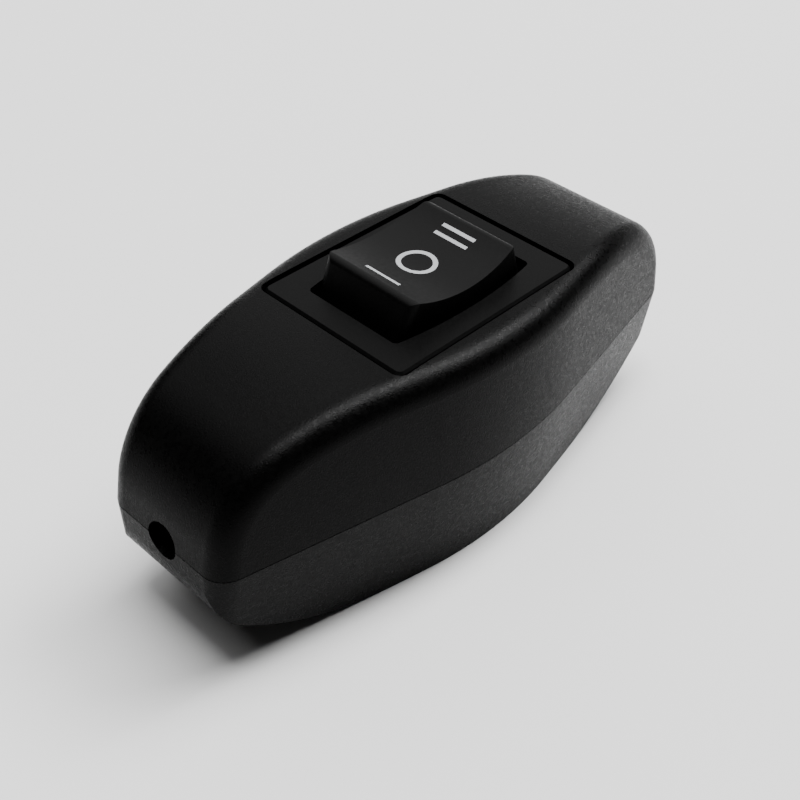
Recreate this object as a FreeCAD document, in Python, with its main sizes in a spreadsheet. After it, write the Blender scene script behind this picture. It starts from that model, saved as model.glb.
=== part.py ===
import FreeCAD, Part
import os
import re

import Sketcher
from FreeCAD import Placement, Rotation, Vector

# Inline rocker switch for a cord: two housing shells, a three position rocker
# module snapped into the upper one, its contacts, and two cord clamps.
# The frame stands on the flat underside: X runs along the cord towards the
# "II" end, Y across it, Z up. Lengths are millimetres, angles degrees.

SIZES = {
    # housing outline, seen from above on the parting plane
    "half_length": 42.6,
    "half_width": 17.6,
    "waist_radius": 63.0,
    "taper_angle": 11.65,
    "edge_radius": 3.4,
    "wall": 2.0,
    # side view of the upper shell
    "split_height": 17.0,
    "upper_height": 16.8,
    "upper_draft": 2.8,
    "upper_lean": 9.0,
    "upper_fall": 24.0,
    "upper_crown": 43.6,
    "upper_shoulder": 14.0,
    # side view of the lower shell
    "lower_draft": 6.0,
    "lower_lean": 0.5,
    "lower_fall": 25.1,
    "lower_crown": 35.0,
    "lower_shoulder": 8.0,
    # seam between the shells, and tongue of the lower one in the rebate of the upper one
    "seam": 0.15,
    "tongue": 0.9,
    "tongue_height": 1.2,
    "tongue_gap": 0.1,
    # cord holes, clamps and their screws
    "cord_radius": 2.5,
    "collar_length": 6.0,
    "collar_half_width": 5.0,
    "clamp_inset": 11.6,
    "clamp_length": 5.0,
    "clamp_side": 8.6,
    "clamp_thickness": 2.2,
    "clamp_arch": 1.6,
    "clamp_screw_inset": 2.7,
    "clamp_screw_length": 9.0,
    # housing screws
    "screw_share": 14 / 27,
    "screw_side": 10.0,
    "screw_seat": 6.0,
    "screw_length": 18.0,
    "shank_radius": 1.4,
    "head_radius": 2.7,
    "head_height": 2.0,
    "slot_width": 0.8,
    "slot_depth": 0.9,
    "screw_gap": 0.05,
    "head_gap": 0.3,
    "boss_wall": 1.5,
    # flange of the switch and its seat in the upper shell
    "flange_length": 32.1,
    "flange_width": 23.7,
    "flange_corner": 1.0,
    "flange_thickness": 2.0,
    "flange_edge": 0.3,
    "flange_gap": 0.5,
    "flange_sink": 0.1,
    "panel": 1.6,
    "panel_rim": 3.2,
    "cutout_length": 30.0,
    "cutout_width": 22.0,
    # moulded body of the switch
    "frame_gap": 0.15,
    "frame_depth": 17.0,
    "frame_floor": 1.6,
    "window_length": 24.6,
    "window_end_width": 15.0,
    "window_mid_width": 17.3,
    "window_corner": 0.8,
    "latch_width": 8.0,
    "latch_height": 3.5,
    "latch_reach": 0.8,
    "latch_slot": 0.9,
    # rocker
    "rocker_gap": 0.45,
    "rocker_wall": 1.5,
    "rocker_rise": 2.5,
    "rocker_dish": 24.8,
    "rocker_foot": 10.9,
    "rocker_lean": 22.0,
    "rocker_cheek": 1.5,
    "rocker_skirt": 6.0,
    "rocker_edge": 1.0,
    "rocker_corner": 1.2,
    "pivot_depth": 4.0,
    "pivot_radius": 1.5,
    "pivot_gap": 0.05,
    "pivot_end_gap": 0.5,
    # sprung plunger in the rocker
    "plunger_radius": 1.7,
    "plunger_gap": 0.08,
    "plunger_reach": 2.05,
    "plunger_tip": 1.0,
    "plunger_stem": 0.7,
    "plunger_stem_length": 2.0,
    "tube_wall": 0.9,
    "tube_roof": 2.05,
    "spring_radius": 1.25,
    "spring_wire": 0.35,
    "spring_length": 5.2,
    "spring_turns": 5.0,
    # contacts
    "blade_width": 6.3,
    "blade": 0.8,
    "blade_length": 8.5,
    "blade_gap": 0.05,
    "contact_place": 8.5,
    "lever_rise": 3.7,
    "lever_length": 19.4,
    "lever_width": 5.6,
    "lever_thickness": 0.8,
    "lever_gap": 0.15,
    "ear": 0.8,
    "ear_height": 1.6,
    "rivet_radius": 1.5,
    "lever_rivet": 0.7,
    "fixed_rivet": 0.5,
    # through terminal of the unswitched core
    "neutral_side": 8.8,
    "neutral_length": 13.0,
    "neutral_width": 5.0,
    "neutral_room": 5.2,
    "neutral_floor": 1.0,
    "neutral_bore": 1.5,
    "neutral_screw_place": 3.6,
    "neutral_screw_room": 1.9,
    "cradle": 1.2,
    "cradle_height": 4.0,
}

doc = FreeCAD.newDocument("InlineRockerSwitch")
sheet = doc.addObject("Spreadsheet::Sheet", "Sizes")
for row, (alias, number) in enumerate(SIZES.items(), start=1):
    sheet.set("A%d" % row, alias)
    sheet.set("B%d" % row, str(number))
    sheet.setAlias("B%d" % row, alias)
doc.recompute()


def bound(text):
    """The expression with each size name made a reference to the sheet."""
    return re.sub(r"[a-z_]+", lambda m: "Sizes." + m[0] if m[0] in SIZES else m[0], text)


def value(text):
    """The expression's present value."""
    return float(sheet.evalExpression(text))


# Places that several pieces share.
CROWN = "(split_height + upper_height)"
FLANGE_TOP = f"({CROWN} - flange_sink)"
FLANGE_SEAT = f"({FLANGE_TOP} - flange_thickness)"
PANEL_FLOOR = f"({FLANGE_SEAT} - panel)"
FRAME_BOTTOM = f"({FLANGE_SEAT} - frame_depth)"
FRAME_FLOOR = f"({FRAME_BOTTOM} + frame_floor)"
PIVOT = f"({FLANGE_TOP} - pivot_depth)"
LEVER = f"({FRAME_FLOOR} + lever_rise)"
TIP = f"({LEVER} + lever_thickness + lever_gap)"
TUBE_RADIUS = "(plunger_radius + plunger_gap + tube_wall)"
TUBE_TOP = f"({FLANGE_TOP} + rocker_rise - rocker_wall)"
TUBE_BORE_TOP = f"({TUBE_TOP} - tube_roof)"
PLUNGER_SHOULDER = f"({TUBE_BORE_TOP} - spring_length)"
CLAMP_X = "(half_length - clamp_inset)"
CLAMP_HALF_WIDTH = "(half_width - clamp_side)"
CLAMP_SCREW_Y = f"({CLAMP_HALF_WIDTH} - clamp_screw_inset)"
SCREW_X = f"(cutout_length / 2 + ({CLAMP_X} - clamp_length / 2 - cutout_length / 2) * screw_share)"
SCREW_Y = "(half_width - screw_side)"
NEUTRAL_Y = "(half_width - neutral_side)"
NEUTRAL_SEAT = "(wall + neutral_floor)"
NEUTRAL_TOP = f"({FRAME_BOTTOM} - neutral_room)"
NEUTRAL_HEIGHT = f"({NEUTRAL_TOP} - {NEUTRAL_SEAT})"
PILOT = "(shank_radius + screw_gap)"


def origin_plane(body, role):
    """One of the body's own three planes."""
    return next(item for item in body.Origin.OriginFeatures if item.Role == role)


def sketch_on(body, name, role, up="0"):
    """Sketch on a plane of the body, shifted along the plane's normal."""
    sketch = body.newObject("Sketcher::SketchObject", name)
    sketch.AttachmentSupport = [(origin_plane(body, role), "")]
    sketch.MapMode = "FlatFace"
    sketch.setExpression("AttachmentOffset.Base.z", bound(up))
    return sketch


def constrain(sketch, *parts):
    """Add a constraint; a last part given as text is the expression it follows."""
    text = parts[-1] if len(parts) > 2 and isinstance(parts[-1], str) else None
    if text is None:
        return sketch.addConstraint(Sketcher.Constraint(*parts))
    number = value(text)
    if parts[0] == "Angle":
        number = number * 3.141592653589793 / 180
    index = sketch.addConstraint(Sketcher.Constraint(*parts[:-1], number))
    sketch.setExpression("Constraints[%d]" % index, bound(text))
    return index


def arc_between(start, end, radius):
    """Arc from start to end that turns left for a positive radius and right for a negative one."""
    chord = end - start
    middle = (start + end) * 0.5
    reach = (radius * radius - chord.Length ** 2 / 4) ** 0.5
    side = Vector(-chord.y, chord.x, 0).normalize() * (reach if radius > 0 else -reach)
    centre = middle + side
    first, last = (start, end) if radius > 0 else (end, start)
    circle = Part.Circle(centre, Vector(0, 0, 1), abs(radius))
    return Part.ArcOfCircle(circle, circle.parameter(first), circle.parameter(last))


def trace(sketch, points):
    """Closed outline through (x, y) or (x, y, radius): a radius bends the stretch to the next point."""
    spots = [Vector(value(point[0]), value(point[1]), 0) for point in points]
    ends = []
    for index, point in enumerate(points):
        start = spots[index]
        end = spots[(index + 1) % len(points)]
        if len(point) == 2:
            geometry = sketch.addGeometry(Part.LineSegment(start, end))
            ends.append((geometry, 1, 2))
            continue
        radius = value(point[2])
        geometry = sketch.addGeometry(arc_between(start, end, radius))
        ends.append((geometry, 1, 2) if radius > 0 else (geometry, 2, 1))
        constrain(sketch, "Radius", geometry, "abs(%s)" % point[2])
    for index, point in enumerate(points):
        geometry, first, _ = ends[index]
        before, _, last = ends[index - 1]
        constrain(sketch, "Coincident", before, last, geometry, first)
        for kind, text, axis in (("DistanceX", point[0], -2), ("DistanceY", point[1], -1)):
            if text == "0":
                constrain(sketch, "PointOnObject", geometry, first, axis)
            else:
                constrain(sketch, kind, -1, 1, geometry, first, text)


def new_body(name):
    """Empty body that a later piece is made from."""
    body = doc.addObject("PartDesign::Body", name)
    body.Label = name
    return body


def pad(body, name, sketch, length, both=False):
    """Pad of the sketch, to both sides of its plane where asked."""
    feature = body.newObject("PartDesign::Pad", name)
    feature.Profile = sketch
    feature.setExpression("Length", bound(length))
    feature.SideType = "Symmetric" if both else "One side"
    return feature


def pocket_through(body, name, sketch):
    """Pocket of the sketch right through the body, both ways."""
    feature = body.newObject("PartDesign::Pocket", name)
    feature.Profile = sketch
    feature.Type = "ThroughAll"
    feature.SideType = "Symmetric"
    return feature


def sharp_edges(shape, wanted):
    """Names of the edges whose two faces meet at more than ten degrees and that are wanted."""
    names = []
    for index, edge in enumerate(shape.Edges, start=1):
        faces = shape.ancestorsOfType(edge, Part.Face)
        if len(faces) != 2:
            continue
        middle = edge.valueAt((edge.FirstParameter + edge.LastParameter) / 2)
        normals = [face.normalAt(*face.Surface.parameter(middle)) for face in faces]
        if normals[0].getAngle(normals[1]) > 0.17 and wanted(edge, middle):
            names.append("Edge%d" % index)
    return names


def round_off(body, name, radius, wanted, flat=False):
    """Fillet, or a flat chamfer, on the wanted sharp edges of the body as it stands."""
    doc.recompute()
    base = body.Tip
    feature = body.newObject("PartDesign::Chamfer" if flat else "PartDesign::Fillet", name)
    feature.Base = (base, sharp_edges(base.Shape, wanted))
    feature.setExpression("Size" if flat else "Radius", bound(radius))
    body.Tip = feature
    return feature


def place(item, x="0", y="0", z="0"):
    """Bind the item's place."""
    for axis, text in (("x", x), ("y", y), ("z", z)):
        item.setExpression("Placement.Base." + axis, bound(text))
    return item


def box(name, x, y, z, length, width, height):
    """Box centred on x and y, standing on z."""
    item = doc.addObject("Part::Box", name)
    item.setExpression("Length", bound(length))
    item.setExpression("Width", bound(width))
    item.setExpression("Height", bound(height))
    return place(item, f"{x} - ({length}) / 2", f"{y} - ({width}) / 2", z)


TURNS = {
    "Z": Rotation(),
    "X": Rotation(Vector(0, 1, 0), 90),
    "Y": Rotation(Vector(1, 0, 0), -90),
}


def rod(name, radius, length, x="0", y="0", z="0", axis="Z"):
    """Round bar from a point along an axis."""
    item = doc.addObject("Part::Cylinder", name)
    item.setExpression("Radius", bound(radius))
    item.setExpression("Height", bound(length))
    item.Placement = Placement(Vector(), TURNS[axis])
    return place(item, x, y, z)


def fuse(name, items):
    """Union of the items."""
    item = doc.addObject("Part::MultiFuse", name)
    item.Shapes = items
    item.Label = name
    return item


def common(name, first, second):
    """What two items share."""
    item = doc.addObject("Part::Common", name)
    item.Base = first
    item.Tool = second
    item.Label = name
    return item


def cut(name, base, tools):
    """The base less all tools."""
    item = doc.addObject("Part::Cut", name)
    item.Base = base
    item.Tool = tools[0] if len(tools) == 1 else fuse(name + "_tools", tools)
    item.Label = name
    return item


def group(name, items):
    """Separate solids kept together."""
    item = doc.addObject("Part::Compound", name)
    item.Links = items
    item.Label = name
    return item


def plan_outline(inset, spare="0", rounded=False):
    """Housing outline from above: waist arc, tapered sides, flat ends, round corners where asked."""
    length = f"(half_length - {inset} + {spare})"
    width = f"(half_width - {inset})"
    waist = f"(waist_radius - {inset})"
    slope_x = f"({waist} * sin(taper_angle))"
    slope_y = f"({width} - {waist} * (1 - cos(taper_angle)))"
    if not rounded:
        end_y = f"({slope_y} - ({length} - {slope_x}) * tan(taper_angle))"
        return [
            (length, "-" + end_y),
            (length, end_y),
            (slope_x, slope_y, waist),
            ("-" + slope_x, slope_y),
            ("-" + length, end_y),
            ("-" + length, "-" + end_y),
            ("-" + slope_x, "-" + slope_y, waist),
            (slope_x, "-" + slope_y),
        ]
    corner = f"(edge_radius - {inset})"
    centre_x = f"({length} - {corner})"
    centre_y = (
        f"({slope_y} - ({corner} + sin(taper_angle) * ({centre_x} - {slope_x})) / cos(taper_angle))"
    )
    turn_x = f"({centre_x} + {corner} * sin(taper_angle))"
    turn_y = f"({centre_y} + {corner} * cos(taper_angle))"
    return [
        (length, "-" + centre_y),
        (length, centre_y, corner),
        (turn_x, turn_y),
        (slope_x, slope_y, waist),
        ("-" + slope_x, slope_y),
        ("-" + turn_x, turn_y, corner),
        ("-" + length, centre_y),
        ("-" + length, "-" + centre_y, corner),
        ("-" + turn_x, "-" + turn_y),
        ("-" + slope_x, "-" + slope_y, waist),
        (slope_x, "-" + slope_y),
        (turn_x, "-" + turn_y, corner),
    ]


def shoulder_outline(sketch, side, inset):
    """Region beyond the end of the side view: leaning wall, shoulder arc, crown arc."""
    lean = value(f"{side}_lean")
    crown = value(f"{side}_crown - {inset}")
    shoulder = value(f"{side}_shoulder - {inset}")
    flat = value(f"half_length - {side}_fall")
    height = value(f"{side}_height - {inset}") if side == "upper" else value(f"split_height - {inset}")
    foot = value(f"half_length - {inset} / cos({side}_lean)")
    outward = Vector(1, 0, 0)
    outward = Rotation(Vector(0, 0, 1), lean).multVec(outward)
    upward = Rotation(Vector(0, 0, 1), lean).multVec(Vector(0, 1, 0))
    crown_centre = Vector(flat, height - crown, 0)
    start = Vector(foot, 0, 0) - outward * shoulder
    reach = start - crown_centre
    slide = reach.dot(upward)
    travel = -slide + (slide ** 2 - reach.dot(reach) + (crown - shoulder) ** 2) ** 0.5
    centre = start + upward * travel
    wall_top = centre + outward * shoulder
    joint = crown_centre + (centre - crown_centre).normalize() * crown
    top = Vector(flat, height, 0)
    margin = 9.0
    spots = [
        Vector(foot, 0, 0),
        wall_top,
        joint,
        top,
        Vector(flat, height + margin, 0),
        Vector(value("half_length") + margin, height + margin, 0),
        Vector(value("half_length") + margin, 0, 0),
    ]
    sketch.addGeometry(Part.LineSegment(spots[0], spots[1]))
    sketch.addGeometry(arc_between(spots[1], spots[2], shoulder))
    sketch.addGeometry(arc_between(spots[2], spots[3], crown))
    for index in (3, 4, 5, 6):
        sketch.addGeometry(Part.LineSegment(spots[index], spots[(index + 1) % 7]))
    depth = "upper_height" if side == "upper" else "split_height"
    constrain(sketch, "PointOnObject", 0, 1, -1)
    constrain(sketch, "DistanceX", -1, 1, 0, 1, f"half_length - {inset} / cos({side}_lean)")
    constrain(sketch, "Angle", 0, f"90 + {side}_lean")
    constrain(sketch, "Tangent", 0, 2, 1, 1)
    constrain(sketch, "Radius", 1, f"{side}_shoulder - {inset}")
    constrain(sketch, "Tangent", 1, 2, 2, 1)
    constrain(sketch, "Radius", 2, f"{side}_crown - {inset}")
    constrain(sketch, "Vertical", 2, 3, 2, 2)
    constrain(sketch, "DistanceX", -1, 1, 2, 2, f"half_length - {side}_fall")
    constrain(sketch, "DistanceY", -1, 1, 2, 2, f"{depth} - {inset}")
    for before, after in ((2, 3), (3, 4), (4, 5), (5, 6), (6, 0)):
        constrain(sketch, "Coincident", before, 2, after, 1)
    constrain(sketch, "Vertical", 3)
    constrain(sketch, "Horizontal", 4)
    constrain(sketch, "Vertical", 5)
    constrain(sketch, "Horizontal", 6)
    constrain(sketch, "DistanceY", -1, 1, 4, 1, f"{depth} - {inset} + 9")
    constrain(sketch, "DistanceX", -1, 1, 5, 1, "half_length + 9")


def half_form(side, inset):
    """Half of the housing as a solid that stands on the parting plane."""
    name = side + ("_outside" if inset == "0" else "_inside")
    depth = "upper_height" if side == "upper" else "split_height"
    body = new_body(name)
    foot = sketch_on(body, name + "_foot", "XY_Plane")
    trace(foot, plan_outline(inset, spare="6" if side == "upper" else "0"))
    block = pad(body, name + "_block", foot, f"{depth} - {inset}")
    doc.recompute()
    draft = body.newObject("PartDesign::Draft", name + "_draft")
    draft.Base = (block, side_faces(block.Shape))
    draft.NeutralPlane = (origin_plane(body, "XY_Plane"), [""])
    draft.setExpression("Angle", bound(f"{side}_draft"))
    draft.Reversed = False
    body.Tip = draft
    if side == "lower" and inset == "0":
        round_off(body, name + "_corners", "edge_radius",
                  lambda line, middle: abs(middle.x) > value("half_length") - 0.1
                  and line.BoundBox.ZLength > 1)
    shoulder = sketch_on(body, name + "_side_view", "XZ_Plane")
    shoulder_outline(shoulder, side, inset)
    ends = pocket_through(body, name + "_shoulder", shoulder)
    both = body.newObject("PartDesign::Mirrored", name + "_both_ends")
    both.Originals = [ends]
    both.MirrorPlane = (origin_plane(body, "YZ_Plane"), [""])
    body.Tip = both
    if side == "upper" and inset == "0":
        round_off(body, name + "_edges", "edge_radius", lambda line, middle: line.BoundBox.ZMax > 0.01)
    return body


def side_faces(shape):
    """Names of the upright faces along the two long sides."""
    names = []
    for index, face in enumerate(shape.Faces, start=1):
        normal = face.normalAt(*face.Surface.parameter(face.CenterOfMass))
        if abs(normal.z) < 0.1 and abs(normal.y) > 0.7:
            names.append("Face%d" % index)
    return names


def upper_form(inset):
    """Upper half of the housing on the parting plane."""
    return place(half_form("upper", inset), z="split_height")


def lower_form(inset):
    """Lower half, turned over so that it hangs below the parting plane."""
    body = half_form("lower", inset)
    body.Placement = Placement(Vector(), Rotation(Vector(1, 0, 0), 180))
    return place(body, z="split_height")


def plan_ring(name, outer, inner, height, foot="split_height"):
    """Ring that follows the outline, standing on its foot."""
    body = new_body(name)
    sketch = sketch_on(body, name + "_plan", "XY_Plane")
    trace(sketch, plan_outline(outer, rounded=True))
    pad(body, name + "_pad", sketch, height)
    hole = sketch_on(body, name + "_hole", "XY_Plane")
    trace(hole, plan_outline(inner, rounded=True))
    pocket_through(body, name + "_pocket", hole)
    body.setExpression("Placement.Base.z", bound(foot))
    return body


def rounded_plate(name, length, width, corner, thickness, z):
    """Plate with round corners, centred, standing on z."""
    body = new_body(name)
    sketch = sketch_on(body, name + "_plan", "XY_Plane", z)
    x, y, r = f"({length}) / 2", f"({width}) / 2", f"({corner})"
    ix, iy = f"({x} - {r})", f"({y} - {r})"
    trace(sketch, [
        (x, "-" + iy), (x, iy, r), (ix, y), ("-" + ix, y, r),
        ("-1 * " + x, iy), ("-1 * " + x, "-" + iy, r), ("-" + ix, "-1 * " + y), (ix, "-1 * " + y, r),
    ])
    pad(body, name + "_pad", sketch, thickness)
    return body


def barrel_plate(name, inset, z, height, corner):
    """Plate like the window: straight ends and sides that bow outwards, smaller all round by inset."""
    body = new_body(name)
    sketch = sketch_on(body, name + "_plan", "XY_Plane", z)
    bow = "((window_mid_width - window_end_width) / 2)"
    x = f"(window_length / 2 - {inset})"
    y = f"(window_end_width / 2 - {inset})"
    radius = f"((window_length * window_length / 4 + {bow} * {bow}) / 2 / {bow})"
    trace(sketch, [
        (x, "-" + y), (x, y, radius), ("-" + x, y), ("-" + x, "-" + y, radius),
    ])
    pad(body, name + "_pad", sketch, height)
    if corner:
        round_off(body, name + "_corners", corner,
                  lambda line, middle: abs(line.tangentAt(line.FirstParameter).z) > 0.9)
    return body


def screw(name, x, y, seat, length, head_up=True):
    """Cheese head screw: head on its seat, slot in its top, shank the other way."""
    sign = "1" if head_up else "-1"
    head = rod(name + "_head", "head_radius", "head_height", x, y,
               seat if head_up else f"{seat} - head_height")
    shank = rod(name + "_shank", "shank_radius", length, x, y,
                f"{seat} - {length}" if head_up else seat)
    slot_floor = f"{seat} + {sign} * head_height - {'slot_depth' if head_up else '0'}"
    slot = box(name + "_slot", x, y, slot_floor, "head_radius * 3", "slot_width", "slot_depth")
    return cut(name, fuse(name + "_blank", [head, shank]), [slot])


CORNERS = [("near_left", "-", ""), ("near_right", "-", "-"), ("far_left", "", ""), ("far_right", "", "-")]
ENDS = [("near", "-"), ("far", "")]


def cord_bore():
    """Round hole for the cord along the whole parting line, both ends."""
    return rod("cord_bore", "cord_radius", "half_length * 2 + 2", "-half_length - 1", "0",
               "split_height", axis="X")


def collars(side):
    """Blocks behind the end walls that lengthen the cord holes."""
    low = "split_height" if side == "upper" else "split_height - collar_half_width"
    return [
        box(f"{side}_collar_{end}", f"{sign}(half_length - collar_length / 2)", "0", low,
            "collar_length", "collar_half_width * 2", "collar_half_width")
        for end, sign in ENDS
    ]


def make_upper_shell():
    """Upper shell: crown with the seat of the switch, screw bosses, cord collars, rebate."""
    kept = collars("upper")
    kept.append(box("panel_rim", "0", "0", PANEL_FLOOR, "cutout_length + panel_rim * 2",
                    "cutout_width + panel_rim * 2", "panel + flange_thickness"))
    tools = [cord_bore()]
    for corner, sx, sy in CORNERS:
        x, y = f"{sx}{SCREW_X}", f"{sy}{SCREW_Y}"
        kept.append(rod(f"upper_boss_{corner}", f"{PILOT} + boss_wall", "upper_height",
                        x, y, "split_height"))
        tools.append(rod(f"upper_pilot_{corner}", PILOT,
                         "screw_length - (split_height - screw_seat) + 1", x, y, "split_height"))
    tools.append(rounded_plate("flange_seat", "flange_length + flange_gap * 2",
                               "flange_width + flange_gap * 2", "flange_corner + flange_gap",
                               "flange_thickness + 2", FLANGE_SEAT))
    tools.append(box("cutout", "0", "0", f"{PANEL_FLOOR} - 1", "cutout_length", "cutout_width", "panel + 2"))
    tools.append(plan_ring("rebate", "(wall - tongue - tongue_gap)", "(wall + 0.5)",
                           "tongue_height + tongue_gap"))
    cavity = cut("upper_cavity", upper_form("wall"), kept)
    return cut("upper_shell", upper_form("0"), [cavity, *tools])


def make_lower_shell():
    """Lower shell: tray with screw wells, cord saddles, terminal cradle, tongue and seam."""
    kept = collars("lower")
    tools = [cord_bore()]
    for corner, sx, sy in CORNERS:
        x, y = f"{sx}{SCREW_X}", f"{sy}{SCREW_Y}"
        kept.append(rod(f"lower_boss_{corner}", "head_radius + head_gap + boss_wall",
                        "split_height", x, y))
        tools.append(rod(f"well_{corner}", "head_radius + head_gap", "screw_seat + 1", x, y, "-1"))
        tools.append(rod(f"lower_hole_{corner}", PILOT, "split_height + 2", x, y, "-1"))
    for end, sign in ENDS:
        x = f"{sign}{CLAMP_X}"
        kept.append(box(f"saddle_{end}", x, "0", "0", "clamp_length",
                        f"{CLAMP_SCREW_Y} * 2", "split_height"))
        for side in ("left", "right"):
            y = CLAMP_SCREW_Y if side == "left" else "-" + CLAMP_SCREW_Y
            kept.append(rod(f"post_{end}_{side}", f"{PILOT} + boss_wall", "split_height", x, y))
            tools.append(rod(f"post_pilot_{end}_{side}", PILOT, "clamp_screw_length",
                             x, y, "split_height + 0.5 - clamp_screw_length"))
    for name, sign in (("inner", "-"), ("outer", "+")):
        kept.append(box(f"cradle_{name}", "0", f"{NEUTRAL_Y} {sign} (neutral_width + cradle) / 2", "0",
                        "neutral_length", "cradle", f"{NEUTRAL_SEAT} + cradle_height"))
    kept.append(box("cradle_floor", "0", NEUTRAL_Y, "0", "neutral_length",
                    "neutral_width + cradle", NEUTRAL_SEAT))
    cavity = cut("lower_cavity", lower_form("wall"), kept)
    tray = cut("lower_tray", lower_form("0"), [cavity])
    tongue = plan_ring("tongue_ring", "(wall - tongue)", "wall", "tongue_height")
    tools.append(box("switch_room", "0", "0", f"{FRAME_BOTTOM} - 1", "cutout_length", "cutout_width",
                     "split_height"))
    tools.append(plan_ring("seam_ring", "(0 - 1)", "(wall - tongue)", "1", "split_height - seam"))
    return cut("lower_shell", fuse("lower_blank", [tray, tongue]), tools)


def make_housing_screws():
    """Four screws from below."""
    return group("housing_screws", [
        screw(f"housing_screw_{corner}", f"{sx}{SCREW_X}", f"{sy}{SCREW_Y}", "screw_seat",
              "screw_length", head_up=False)
        for corner, sx, sy in CORNERS
    ])


def make_cord_clamp(end, sign):
    """Saddle over the cord: plate with a half round arch, ribbed inside, and two screw holes."""
    x = f"{sign}{CLAMP_X}"
    name = f"cord_clamp_{end}"
    plate = box(name + "_plate", x, "0", "split_height", "clamp_length", f"{CLAMP_HALF_WIDTH} * 2",
                "clamp_thickness")
    arch = rod(name + "_arch", "cord_radius + clamp_arch", "clamp_length", f"{x} - clamp_length / 2",
               "0", "split_height", axis="X")
    below = box(name + "_below", x, "0", "split_height - 10", "clamp_length + 2", "20", "10")
    tools = [below, rod(name + "_cord", "cord_radius", "clamp_length + 2",
                        f"{x} - clamp_length / 2 - 1", "0", "split_height", axis="X")]
    for side, y in (("left", CLAMP_SCREW_Y), ("right", "-" + CLAMP_SCREW_Y)):
        tools.append(rod(f"{name}_hole_{side}", PILOT, "clamp_thickness + 4", x, y, "split_height - 2"))
    blank = cut(name + "_blank", fuse(name + "_solid", [plate, arch]), tools)
    teeth = box(name + "_tooth", x, "0", "split_height + cord_radius - 0.4",
                "0.8", "cord_radius * 1.6", "0.8")
    piece = fuse(name, [blank, teeth])
    return piece


def make_clamp_screws():
    """Two screws in each saddle."""
    return group("clamp_screws", [
        screw(f"clamp_screw_{end}_{side}", f"{sign}{CLAMP_X}", y, "(split_height + clamp_thickness)",
              "clamp_screw_length")
        for end, sign in ENDS
        for side, y in (("left", CLAMP_SCREW_Y), ("right", "-" + CLAMP_SCREW_Y))
    ])


def make_neutral_terminal():
    """Brass block with a bore for both cores and two threaded holes from above."""
    block = box("neutral_block", "0", NEUTRAL_Y, NEUTRAL_SEAT, "neutral_length", "neutral_width",
                NEUTRAL_HEIGHT)
    tools = [rod("neutral_bore_hole", "neutral_bore", "neutral_length + 2", "-neutral_length / 2 - 1",
                 NEUTRAL_Y, f"{NEUTRAL_SEAT} + neutral_bore + 1", axis="X")]
    for end, sign in ENDS:
        tools.append(rod(f"neutral_hole_{end}", PILOT, f"{NEUTRAL_HEIGHT} / 2 + 1",
                         f"{sign}neutral_screw_place", NEUTRAL_Y, f"{NEUTRAL_SEAT} + {NEUTRAL_HEIGHT} / 2"))
    return cut("neutral_terminal", block, tools)


def make_neutral_screws():
    """Two clamping screws, turned part of the way in."""
    return group("neutral_screws", [
        screw(f"neutral_screw_{end}", f"{sign}neutral_screw_place", NEUTRAL_Y,
              f"{NEUTRAL_TOP} + 0.6", f"({NEUTRAL_HEIGHT} - neutral_screw_room - 1)")
        for end, sign in ENDS
    ])


def make_switch_frame():
    """Body of the switch: flange with the bowed window, box below, latches, pin holes, floor."""
    flange = rounded_plate("frame_flange", "flange_length", "flange_width", "flange_corner",
                           "flange_thickness", FLANGE_SEAT)
    round_off(flange, "frame_flange_edge", "flange_edge",
              lambda line, middle: abs(middle.z - value(FLANGE_TOP)) < 0.01, flat=True)
    length = "(cutout_length - frame_gap * 2)"
    width = "(cutout_width - frame_gap * 2)"
    shaft = box("frame_shaft", "0", "0", FRAME_BOTTOM, length, width, "frame_depth")
    parts = [flange, shaft]
    tools = [barrel_plate("window_hollow", "0", FRAME_FLOOR, f"{FLANGE_TOP} - {FRAME_FLOOR} + 1",
                          "window_corner")]
    tools.append(rod("pivot_holes", "pivot_radius + pivot_gap", width, "0", f"-{width} / 2", PIVOT, axis="Y"))
    for end, sign in ENDS:
        parts.append(make_latch(end, sign, length))
        for side, way in (("left", "+"), ("right", "-")):
            tools.append(box(f"latch_slot_{end}_{side}", f"{sign}({length} / 2 - 1)",
                             f"{way}(latch_width + latch_slot) / 2",
                             f"{PANEL_FLOOR} - latch_height * 2", "6", "latch_slot",
                             f"{FLANGE_SEAT} - {PANEL_FLOOR} + latch_height * 2 - 0.8"))
    for name, x in (("one", "-contact_place"), ("common", "0"), ("two", "contact_place")):
        tools.append(box(f"blade_slot_{name}", x, "0", f"{FRAME_BOTTOM} - 1", "blade + blade_gap * 2",
                         "blade_width + blade_gap * 2", "frame_floor + 2"))
    return cut("switch_frame", fuse("frame_blank", parts), tools)


def make_latch(end, sign, length):
    """Wedge on the end wall that snaps under the panel: flat on top, sloping to nothing below."""
    body = new_body(f"latch_{end}")
    sketch = sketch_on(body, f"latch_{end}_side", "XZ_Plane")
    wall = f"{sign}({length} / 2"
    trace(sketch, [
        (f"{wall} - 0.6)", f"{PANEL_FLOOR} - frame_gap"),
        (f"{wall} + latch_reach)", f"{PANEL_FLOOR} - frame_gap"),
        (f"{wall} + latch_reach)", f"{PANEL_FLOOR} - frame_gap - 0.6"),
        (f"{wall})", f"{PANEL_FLOOR} - latch_height"),
        (f"{wall} - 0.6)", f"{PANEL_FLOOR} - latch_height"),
    ])
    pad(body, f"latch_{end}_pad", sketch, "latch_width", both=True)
    return body


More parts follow.
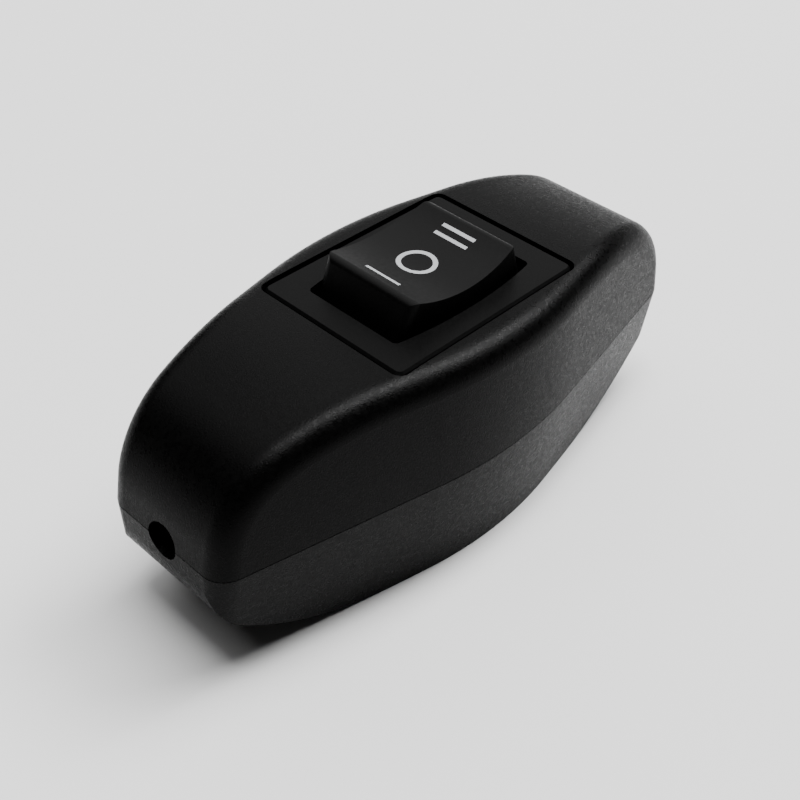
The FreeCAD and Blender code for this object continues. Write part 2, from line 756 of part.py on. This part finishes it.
def rocker_side_view(name, inset, width):
    """Rocker from the side, padded across: dished top, leaning ends, upright cheeks, open foot."""
    body = new_body(name)
    sketch = sketch_on(body, name + "_side", "XZ_Plane")
    foot = f"(rocker_foot - {inset})"
    cheek_x = f"({foot} + rocker_cheek * tan(rocker_lean))"
    dish = f"(rocker_dish + {inset})"
    rise = f"({FLANGE_TOP} + rocker_rise - {inset})"
    half = value(f"{foot} - (rocker_rise + 1.8) * tan(rocker_lean)")
    skirt = f"({FLANGE_TOP} - rocker_skirt" + (" - 1)" if inset != "0" else ")")
    top = value(rise) + value(dish) - (value(dish) ** 2 - half ** 2) ** 0.5
    spots = [
        Vector(value(cheek_x), value(skirt), 0),
        Vector(value(cheek_x), value(f"{FLANGE_TOP} - rocker_cheek"), 0),
        Vector(half, top, 0),
        Vector(-half, top, 0),
        Vector(-value(cheek_x), value(f"{FLANGE_TOP} - rocker_cheek"), 0),
        Vector(-value(cheek_x), value(skirt), 0),
    ]
    for index in (0, 1):
        sketch.addGeometry(Part.LineSegment(spots[index], spots[index + 1]))
    sketch.addGeometry(arc_between(spots[2], spots[3], -value(dish)))
    for index in (3, 4, 5):
        sketch.addGeometry(Part.LineSegment(spots[index], spots[(index + 1) % 6]))
    for before, after in ((0, 1), (3, 4), (4, 5), (5, 0)):
        constrain(sketch, "Coincident", before, 2, after, 1)
    constrain(sketch, "Coincident", 1, 2, 2, 2)
    constrain(sketch, "Coincident", 2, 1, 3, 1)
    constrain(sketch, "DistanceX", -1, 1, 0, 1, cheek_x)
    constrain(sketch, "DistanceY", -1, 1, 0, 1, skirt)
    constrain(sketch, "Vertical", 0)
    constrain(sketch, "DistanceY", -1, 1, 0, 2, f"{FLANGE_TOP} - rocker_cheek")
    constrain(sketch, "Angle", 1, "90 + rocker_lean")
    constrain(sketch, "PointOnObject", 2, 3, -2)
    constrain(sketch, "DistanceY", -1, 1, 2, 3, f"{rise} + {dish}")
    constrain(sketch, "Radius", 2, dish)
    constrain(sketch, "Symmetric", 0, 1, 4, 2, -2)
    constrain(sketch, "Symmetric", 0, 2, 4, 1, -2)
    constrain(sketch, "Horizontal", 2, 1, 2, 2)
    pad(body, name + "_pad", sketch, width, both=True)
    return body


def make_rocker():
    """Rocker: dished cap with bowed sides, hollow below, with the plunger tube and pivot pins."""
    gap = "rocker_gap"
    bottom = f"{FLANGE_TOP} - rocker_skirt"
    outer = common("rocker_outer", rocker_side_view("rocker_cap", "0", "window_mid_width * 2"),
                   barrel_plate("rocker_plan", f"({gap})", bottom, "rocker_skirt + 12", None))
    doc.recompute()
    rounded = doc.addObject("Part::Fillet", "rocker_rounded")
    rounded.Base = outer
    rounded.Edges = rocker_edge_radii(outer.Shape)
    inner = common("rocker_inner", rocker_side_view("rocker_core", "rocker_wall", "window_mid_width * 2"),
                   barrel_plate("rocker_core_plan", f"({gap} + rocker_wall)", f"{bottom} - 1",
                                "rocker_skirt + 12", None))
    shell = cut("rocker_shell", rounded, [inner])
    half_width = f"(window_mid_width / 2 - {gap})"
    reach = f"((cutout_width - frame_gap * 2) / 2 - pivot_end_gap - {half_width} + rocker_wall / 2)"
    tube_foot = f"({TIP} + plunger_reach)"
    tube = rod("rocker_tube", TUBE_RADIUS, f"{TUBE_TOP} + 0.5 - {tube_foot}", z=tube_foot)
    parts = [shell, tube]
    parts.append(rod("rocker_pin_left", "pivot_radius", reach, y=f"{half_width} - rocker_wall / 2",
                     z=PIVOT, axis="Y"))
    parts.append(rod("rocker_pin_right", "pivot_radius", reach,
                     y=f"-{half_width} + rocker_wall / 2 - {reach}", z=PIVOT, axis="Y"))
    bore = rod("rocker_bore", "plunger_radius + plunger_gap", f"{TUBE_BORE_TOP} - {TIP} + 3",
               z=f"{TIP} - 3")
    return cut("rocker", fuse("rocker_blank", parts), [bore])


def rocker_edge_radii(shape):
    """Rounding of the cap along its two raised ends and down its four corners."""
    radii = []
    for index, edge in enumerate(shape.Edges, start=1):
        size = edge.BoundBox
        if size.ZMin > value(FLANGE_TOP) + 1 and size.XLength < 0.5:
            radii.append((index, value("rocker_edge"), value("rocker_edge")))
        elif size.ZMax > value(FLANGE_TOP) and size.ZLength > size.XLength:
            radii.append((index, value("rocker_corner"), value("rocker_corner")))
    return radii


def make_plunger():
    """Turned pin: tapered tip below, shoulder and stem for the spring above."""
    body = new_body("rocker_plunger")
    sketch = sketch_on(body, "plunger_profile", "XZ_Plane")
    shoulder = PLUNGER_SHOULDER
    trace(sketch, [
        ("0", TIP),
        ("(plunger_radius - plunger_tip)", TIP),
        ("plunger_radius", f"{TIP} + plunger_tip"),
        ("plunger_radius", shoulder),
        ("plunger_stem", shoulder),
        ("plunger_stem", f"{shoulder} + plunger_stem_length"),
        ("0", f"{shoulder} + plunger_stem_length"),
    ])
    turned = body.newObject("PartDesign::Revolution", "plunger_turned")
    turned.Profile = sketch
    turned.ReferenceAxis = (sketch, ["V_Axis"])
    turned.Angle = 360
    return body


def make_spring():
    """Coil spring between the plunger's shoulder and the roof of its tube."""
    inner = "spring_wire"
    wire = doc.addObject("Part::Helix", "spring_path")
    wire.setExpression("Radius", bound("spring_radius"))
    wire.setExpression("Height", bound(f"spring_length - {inner} - 0.1"))
    wire.setExpression("Pitch", bound(f"(spring_length - {inner} - 0.1) / spring_turns"))
    place(wire, z=f"{PLUNGER_SHOULDER} + {inner} / 2 + 0.05")
    section = doc.addObject("Part::RegularPolygon", "spring_section")
    section.Polygon = 4
    section.setExpression("Circumradius", bound(f"{inner} / 2"))
    section.Placement = Placement(Vector(), Rotation(Vector(1, 0, 0), 90))
    place(section, "spring_radius", "0", f"{PLUNGER_SHOULDER} + {inner} / 2 + 0.05")
    sweep = doc.addObject("Part::Sweep", "plunger_spring")
    sweep.Sections = [section]
    sweep.Spine = (wire, [])
    sweep.Solid = True
    sweep.Frenet = True
    sweep.Label = "plunger_spring"
    return sweep


def make_contact_lever():
    """Seesaw plate with a waist between the fork's ears and a shallow notch on its fulcrum."""
    plate = box("lever_plate", "0", "0", LEVER, "lever_length", "lever_width", "lever_thickness")
    tools = []
    for side, sign in (("left", ""), ("right", "-")):
        tools.append(box(f"lever_waist_{side}", "0", f"{sign}(blade_width / 2)", f"{LEVER} - 1",
                         "blade * 2.6", "ear * 2 + lever_gap * 2", "lever_thickness + 2"))
    return cut("contact_lever", plate, tools)


def make_lever_contact(name, sign):
    """Rivet under one arm of the lever."""
    item = rod(name, "rivet_radius", "lever_rivet", f"{sign}contact_place", "0",
               f"{LEVER} - lever_rivet")
    item.Label = name
    return item


def make_common_terminal():
    """Blade through the floor whose head is a fork: fulcrum edge between two ears."""
    stem = box("common_stem", "0", "0", f"{FRAME_BOTTOM} - blade_length", "blade", "blade_width",
               f"{LEVER} - lever_gap - {FRAME_BOTTOM} + blade_length")
    parts = [stem]
    for side, sign in (("left", ""), ("right", "-")):
        parts.append(box(f"common_ear_{side}", "0", f"{sign}(blade_width - ear) / 2",
                         f"{LEVER} - lever_gap - 1", "blade", "ear", "lever_gap + 1 + ear_height"))
    return cut("common_terminal", fuse("common_blank", parts), [blade_eye("common", "0")])


def blade_eye(name, x):
    """Locking hole near the end of a blade."""
    return rod(f"eye_{name}", "0.8", "blade * 3", f"{x} - blade * 1.5", "0",
               f"{FRAME_BOTTOM} - blade_length * 0.6", axis="X")


def make_terminal(name, sign):
    """Outer terminal: blade through the floor, bent over towards the middle under its contact."""
    x = f"{sign}contact_place"
    stem = box(f"terminal_{name}_stem", x, "0", f"{FRAME_BOTTOM} - blade_length", "blade", "blade_width",
               f"{FRAME_FLOOR} + blade - {FRAME_BOTTOM} + blade_length")
    foot = box(f"terminal_{name}_foot", x, "0", FRAME_FLOOR, "rivet_radius * 2 + 1.6", "blade_width", "blade")
    return cut(f"terminal_{name}", fuse(f"terminal_{name}_blank", [stem, foot]),
               [blade_eye(name, x)])


def make_fixed_contact(name, sign):
    """Rivet on an outer terminal."""
    item = rod(name, "rivet_radius", "fixed_rivet", f"{sign}contact_place", "0", f"{FRAME_FLOOR} + blade")
    item.Label = name
    return item


def export(pieces):
    """Check the whole document, then write one file for each piece."""
    doc.recompute()
    failed = [item.Name for item in doc.Objects if {"Invalid", "Error"} & set(item.State)]
    if failed:
        raise RuntimeError("failed: " + ", ".join(failed))
    for piece in pieces:
        if piece.Shape.isNull() or not piece.Shape.isValid() or not piece.Shape.Solids:
            raise RuntimeError("bad shape: " + piece.Label)
    os.makedirs("parts", exist_ok=True)
    for piece in pieces:
        piece.Shape.exportStep("parts/%s.step" % piece.Label)
        bounds = piece.Shape.BoundBox
        print("%-20s solids %d volume %8.1f  z %.2f to %.2f" % (
            piece.Label, len(piece.Shape.Solids), piece.Shape.Volume, bounds.ZMin, bounds.ZMax))


export([
    make_upper_shell(),
    make_lower_shell(),
    make_housing_screws(),
    make_cord_clamp("near", "-"),
    make_cord_clamp("far", ""),
    make_clamp_screws(),
    make_neutral_terminal(),
    make_neutral_screws(),
    make_switch_frame(),
    make_rocker(),
    make_plunger(),
    make_spring(),
    make_contact_lever(),
    make_lever_contact("lever_contact_one", "-"),
    make_lever_contact("lever_contact_two", ""),
    make_common_terminal(),
    make_terminal("one", "-"),
    make_terminal("two", ""),
    make_fixed_contact("fixed_contact_one", "-"),
    make_fixed_contact("fixed_contact_two", ""),
])
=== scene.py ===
import bpy
import numpy as np
from mathutils import Matrix, Vector


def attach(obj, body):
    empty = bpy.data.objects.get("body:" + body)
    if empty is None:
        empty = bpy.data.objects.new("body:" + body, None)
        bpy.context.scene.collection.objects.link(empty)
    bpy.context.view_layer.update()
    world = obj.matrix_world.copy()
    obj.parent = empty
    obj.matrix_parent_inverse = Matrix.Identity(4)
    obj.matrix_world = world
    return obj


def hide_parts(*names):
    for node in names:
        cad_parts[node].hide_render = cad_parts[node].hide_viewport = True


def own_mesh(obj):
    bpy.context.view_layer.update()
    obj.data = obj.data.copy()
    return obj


MM = 0.001
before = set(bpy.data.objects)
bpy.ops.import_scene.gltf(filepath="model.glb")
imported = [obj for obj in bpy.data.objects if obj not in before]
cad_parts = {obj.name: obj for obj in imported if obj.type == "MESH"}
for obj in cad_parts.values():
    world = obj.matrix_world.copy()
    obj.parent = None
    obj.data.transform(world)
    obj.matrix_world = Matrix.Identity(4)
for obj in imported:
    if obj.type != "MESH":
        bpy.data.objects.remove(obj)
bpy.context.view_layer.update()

# %% [markdown]
# The shells are moulded in a spark eroded tool, which leaves a fine leathery grain. It is made
# here from noise at two sizes, as a bump and as a slight change of roughness, so that the light
# catches it in specks. Object coordinates keep the grain fixed to the part when a piece moves.
# The photograph is exposed so that the black plastic shows no colour of its own, only the lights
# that it mirrors. The colour is therefore nearly nothing and the specular level is low.
# %% Plastics
def new_material(name):
    """Material with a bare principled shader, its node tree and the shader node."""
    material = bpy.data.materials.new(name)
    material.use_nodes = True
    tree = material.node_tree
    return material, tree, tree.nodes["Principled BSDF"]


def noise(tree, size_mm, detail):
    """Noise texture with features of about the given size, in object coordinates."""
    place = tree.nodes.new("ShaderNodeTexCoord")
    texture = tree.nodes.new("ShaderNodeTexNoise")
    texture.inputs["Scale"].default_value = 1.0 / (size_mm * MM)
    texture.inputs["Detail"].default_value = detail
    tree.links.new(place.outputs["Object"], texture.inputs["Vector"])
    return texture.outputs["Fac"]


def spread(tree, value, low, high, to_low, to_high):
    """Map a value from one range to another, held at both ends."""
    node = tree.nodes.new("ShaderNodeMapRange")
    sockets = ("From Min", "From Max", "To Min", "To Max")
    for socket, number in zip(sockets, (low, high, to_low, to_high)):
        node.inputs[socket].default_value = number
    tree.links.new(value, node.inputs["Value"])
    return node.outputs["Result"]


def plastic(name, colour, roughness, specular, grain_mm, depth_mm, uneven):
    """Dark plastic with a bump of the given grain size and depth, and patches of uneven gloss."""
    material, tree, shader = new_material(name)
    shader.inputs["Base Color"].default_value = (*colour, 1)
    shader.inputs["Specular IOR Level"].default_value = specular
    grain = noise(tree, grain_mm, 3.0)
    patches = noise(tree, grain_mm * 3, 2.0)
    rough = spread(tree, patches, 0.35, 0.65, roughness - uneven, roughness + uneven)
    tree.links.new(rough, shader.inputs["Roughness"])
    bump = tree.nodes.new("ShaderNodeBump")
    bump.inputs["Strength"].default_value = 1.0
    bump.inputs["Distance"].default_value = depth_mm * MM
    tree.links.new(grain, bump.inputs["Height"])
    tree.links.new(bump.outputs["Normal"], shader.inputs["Normal"])
    return material


BLACK = (0.0006, 0.0006, 0.0006)
housing_plastic = plastic("housing plastic", BLACK, 0.32, 0.035, 0.18, 0.045, 0.08)
frame_plastic = plastic("switch plastic", BLACK, 0.42, 0.036, 0.16, 0.022, 0.04)
rocker_plastic = plastic("rocker plastic", BLACK, 0.38, 0.052, 0.16, 0.014, 0.04)
print("plastics:", housing_plastic.name, frame_plastic.name, rocker_plastic.name)

# %% [markdown]
# Inside are zinc plated screws, brass terminals, a copper alloy lever and silver contacts. They
# are plain metals with a little uneven roughness, as stamped and turned parts have.
# %% Metals
def metal(name, colour, roughness):
    """Bare metal with slightly uneven roughness."""
    material, tree, shader = new_material(name)
    shader.inputs["Base Color"].default_value = (*colour, 1)
    shader.inputs["Metallic"].default_value = 1.0
    rough = spread(tree, noise(tree, 0.6, 2.0), 0.3, 0.7, roughness - 0.06, roughness + 0.06)
    tree.links.new(rough, shader.inputs["Roughness"])
    return material


zinc = metal("zinc plate", (0.58, 0.59, 0.61), 0.34)
spring_steel = metal("spring steel", (0.42, 0.42, 0.43), 0.30)
brass = metal("brass", (0.72, 0.52, 0.22), 0.32)
copper = metal("copper alloy", (0.72, 0.40, 0.25), 0.30)
silver = metal("silver", (0.80, 0.79, 0.77), 0.22)

FINISHES = {
    housing_plastic: ["upper_shell", "lower_shell", "cord_clamp_near", "cord_clamp_far"],
    frame_plastic: ["switch_frame"],
    rocker_plastic: ["rocker"],
    zinc: ["housing_screws", "clamp_screws", "neutral_screws", "rocker_plunger"],
    spring_steel: ["plunger_spring"],
    brass: ["neutral_terminal", "common_terminal", "terminal_one", "terminal_two"],
    copper: ["contact_lever"],
    silver: ["lever_contact_one", "lever_contact_two", "fixed_contact_one", "fixed_contact_two"],
}
for material, names in FINISHES.items():
    for name in names:
        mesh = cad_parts[name].data
        mesh.materials.clear()
        mesh.materials.append(material)
print("finishes on", sum(len(names) for names in FINISHES.values()), "nodes")

# %% [markdown]
# The marks are pad printed on the dished top of the rocker in white ink, far thinner than a
# hair. Each is a small sheet that follows the dish, made as a closed skin of grid points so that
# it has a top, a back and a rim.
# %% Marks on the rocker
DISH_RADIUS = 24.8
DISH_LOW = 36.2
INK = 0.02


def dish_height(x):
    """Height of the rocker's top in millimetres: z = low + R - sqrt(R^2 - x^2)."""
    return DISH_LOW + DISH_RADIUS - np.sqrt(DISH_RADIUS ** 2 - x ** 2)


def ink_sheet(name, x, y, closed):
    """Skin over grids of x and y in millimetres, a sheet of ink thick on either side of the dish.

    closed joins the last row to the first."""
    rows, columns = x.shape
    top = np.stack([x, y, dish_height(x) + INK], -1)
    back = np.stack([x, y, dish_height(x) - INK], -1)
    points = np.concatenate([top.reshape(-1, 3), back.reshape(-1, 3)]) * MM
    index = np.arange(rows * columns).reshape(rows, columns)
    after = np.roll(index, -1, 0) if closed else index[1:]
    before = index if closed else index[:-1]
    quads = np.stack([before[:, :-1], after[:, :-1], after[:, 1:], before[:, 1:]], -1)
    quads = quads.reshape(-1, 4)
    under = quads[:, ::-1] + rows * columns
    rims = [(before[:, -1], after[:, -1]), (after[:, 0], before[:, 0])]
    if not closed:
        rims += [(index[0, :-1], index[0, 1:]), (index[-1, 1:], index[-1, :-1])]
    walls = [np.stack([b, a, a + rows * columns, b + rows * columns], -1) for a, b in rims]
    faces = np.concatenate([quads, under, *walls])
    mesh = bpy.data.meshes.new(name)
    mesh.from_pydata(points.tolist(), [], faces.tolist())
    mesh.validate()
    mesh.update()
    item = bpy.data.objects.new(name, mesh)
    bpy.context.scene.collection.objects.link(item)
    item.data.materials.append(white_ink)
    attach(item, "rocker")
    return item


def bar(name, centre, length, stroke):
    """Straight mark across the rocker."""
    x, y = np.meshgrid(
        centre + np.linspace(-stroke / 2, stroke / 2, 5),
        np.linspace(-length / 2, length / 2, 9),
        indexing="ij",
    )
    return ink_sheet(name, x, y, closed=False)


def ring(name, centre, outer, inner):
    """Round mark: radius from inner to outer over a full turn."""
    angle, radius = np.meshgrid(
        np.linspace(0, 2 * np.pi, 64, endpoint=False),
        np.linspace(inner, outer, 4),
        indexing="ij",
    )
    return ink_sheet(name, centre + radius * np.cos(angle), radius * np.sin(angle), closed=True)


white_ink, _, ink_shader = new_material("white ink")
ink_shader.inputs["Base Color"].default_value = (0.17, 0.175, 0.18, 1)
ink_shader.inputs["Roughness"].default_value = 0.6
marks = [
    bar("mark_one", -6.9, 5.65, 0.5),
    ring("mark_off", -0.85, 2.65, 2.0),
    bar("mark_two_a", 5.3, 5.45, 0.55),
    bar("mark_two_b", 6.85, 5.45, 0.55),
]
print("marks:", [item.name for item in marks])

# %% [markdown]
# The plunger's spring is wound from round steel wire and sits in the rocker's tube. A coil is one
# small circle carried along a helix, so it is worked out as a tube on a grid of turns and angles.
# It gets shorter as the plunger slides up, which a rigid piece can't do. This coil takes the CAD
# spring's place and is carried with the plunger as one rigid piece.
# %% Plunger spring
COIL_RADIUS = 1.25
WIRE_RADIUS = 0.17
TURNS = 5.0
COIL_LOW, COIL_HIGH = 27.68, 32.42


def coil(name, material):
    """Tube about a helix: centre (R cos t, R sin t, z(t)) plus r (n cos u + b sin u).

    n points out from the axis, and b is square to it and to the wire."""
    turn = np.linspace(0, 2 * np.pi * TURNS, int(TURNS) * 32 + 1)
    around = np.linspace(0, 2 * np.pi, 12, endpoint=False)
    out = np.stack([np.cos(turn), np.sin(turn), 0 * turn], -1)
    rise = (COIL_HIGH - COIL_LOW) / (2 * np.pi * TURNS)
    centre = COIL_RADIUS * out + np.stack([0 * turn, 0 * turn, COIL_LOW + rise * turn], -1)
    along = np.stack(
        [-COIL_RADIUS * np.sin(turn), COIL_RADIUS * np.cos(turn), rise + 0 * turn], -1
    )
    along /= np.linalg.norm(along, axis=1)[:, None]
    up = np.cross(along, out)
    outward = np.cos(around)[None, :, None] * out[:, None]
    upward = np.sin(around)[None, :, None] * up[:, None]
    tube = centre[:, None] + WIRE_RADIUS * (outward + upward)
    points = np.concatenate([tube.reshape(-1, 3), centre[[0, -1]]]) * MM
    rings, sides = len(turn), len(around)
    index = np.arange(rings * sides).reshape(rings, sides)
    beside = np.roll(index, -1, 1)
    skin = np.stack([index[:-1], beside[:-1], beside[1:], index[1:]], -1).reshape(-1, 4)
    start = [(rings * sides, b, a) for a, b in zip(index[0].tolist(), beside[0].tolist())]
    end = [(rings * sides + 1, a, b) for a, b in zip(index[-1].tolist(), beside[-1].tolist())]
    mesh = bpy.data.meshes.new(name)
    mesh.from_pydata(points.tolist(), [], skin.tolist() + start + end)
    mesh.validate()
    mesh.update()
    item = bpy.data.objects.new(name, mesh)
    bpy.context.scene.collection.objects.link(item)
    item.data.materials.append(material)
    return item


spring = coil("spring_coil", spring_steel)
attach(spring, "plunger")
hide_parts("plunger_spring")
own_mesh(spring)
print("spring:", len(spring.data.polygons), "faces")

# %% [markdown]
# The photograph has a plain white ground. A pale floor stands for it, and the walls of the
# housing mirror it. The room above is dark: the rounding between crown and near side looks into
# it and shows as a black band. A long softbox overhead lays the bright line beside that band,
# and a smaller light at its right end carries the line on past the switch. A broad softbox
# behind them and a panel low behind the object give the crown, the flange and the rocker's top
# their even grey.
# %% Floor and lights
FLOOR = 3
floor_mesh = bpy.data.meshes.new("floor")
corners = [(-FLOOR, -FLOOR, 0), (FLOOR, -FLOOR, 0), (FLOOR, FLOOR, 0), (-FLOOR, FLOOR, 0)]
floor_mesh.from_pydata(corners, [], [(0, 1, 2, 3)])
floor = bpy.data.objects.new("floor", floor_mesh)
bpy.context.scene.collection.objects.link(floor)
floor_paint, _, floor_shader = new_material("pale floor")
floor_shader.inputs["Base Color"].default_value = (0.46, 0.46, 0.46, 1)
floor_shader.inputs["Roughness"].default_value = 0.9
floor_shader.inputs["Specular IOR Level"].default_value = 0.1
floor.data.materials.append(floor_paint)

world = bpy.data.worlds.new("sky")
world.use_nodes = True
background = world.node_tree.nodes["Background"]
background.inputs["Color"].default_value = (1, 1, 1, 1)
background.inputs["Strength"].default_value = 0.04
bpy.context.scene.world = world


def soft_light(name, place, target, size, watts):
    """Softbox of a width and length at a place, aimed at a target, all in metres."""
    lamp = bpy.data.lights.new(name, "AREA")
    lamp.shape = "RECTANGLE"
    lamp.size, lamp.size_y = size
    lamp.energy = watts
    item = bpy.data.objects.new(name, lamp)
    item.location = place
    item.rotation_mode = "QUATERNION"
    item.rotation_quaternion = (Vector(target) - Vector(place)).to_track_quat("-Z", "Y")
    bpy.context.scene.collection.objects.link(item)
    return item


lights = [
    soft_light("overhead", (0.10, 0.95, 1.40), (0.10, 0.95, 0), (1.9, 1.9), 26),
    soft_light("back panel", (1.50, 1.35, 1.00), (0, 0, 0.02), (1.8, 1.8), 16),
    soft_light("long softbox", (0.38, -0.04, 1.35), (0, 0, 0.02), (0.35, 1.6), 72),
    soft_light("corner light", (0.85, -0.34, 1.18), (0, 0, 0.02), (0.45, 0.45), 18),
]
print("lights:", [item.name for item in lights])

# %% [markdown]
# The camera stands where the photographer's did, found by fitting the outline, the parting line
# and the groove round the switch.
# %% Camera
RIGHT = Vector((0.6928, -0.7203, 0.0346))
DOWN = Vector((-0.4511, -0.4704, -0.7584))
AHEAD = Vector((0.5625, 0.5099, -0.6508))
EYE = Vector((-0.09680, -0.08599, 0.12392))
camera_data = bpy.data.cameras.new("camera")
camera_data.sensor_width = 36
camera_data.lens = 56.105
camera_data.shift_x = -0.00595
camera_data.shift_y = 0.00118
camera_data.clip_start = 0.005
camera = bpy.data.objects.new("camera", camera_data)
turn_to_view = Matrix((RIGHT, -DOWN, -AHEAD)).transposed().to_4x4()
camera.matrix_world = Matrix.Translation(EYE) @ turn_to_view
bpy.context.scene.collection.objects.link(camera)
bpy.context.scene.camera = camera
print("camera at", [round(c, 4) for c in EYE])
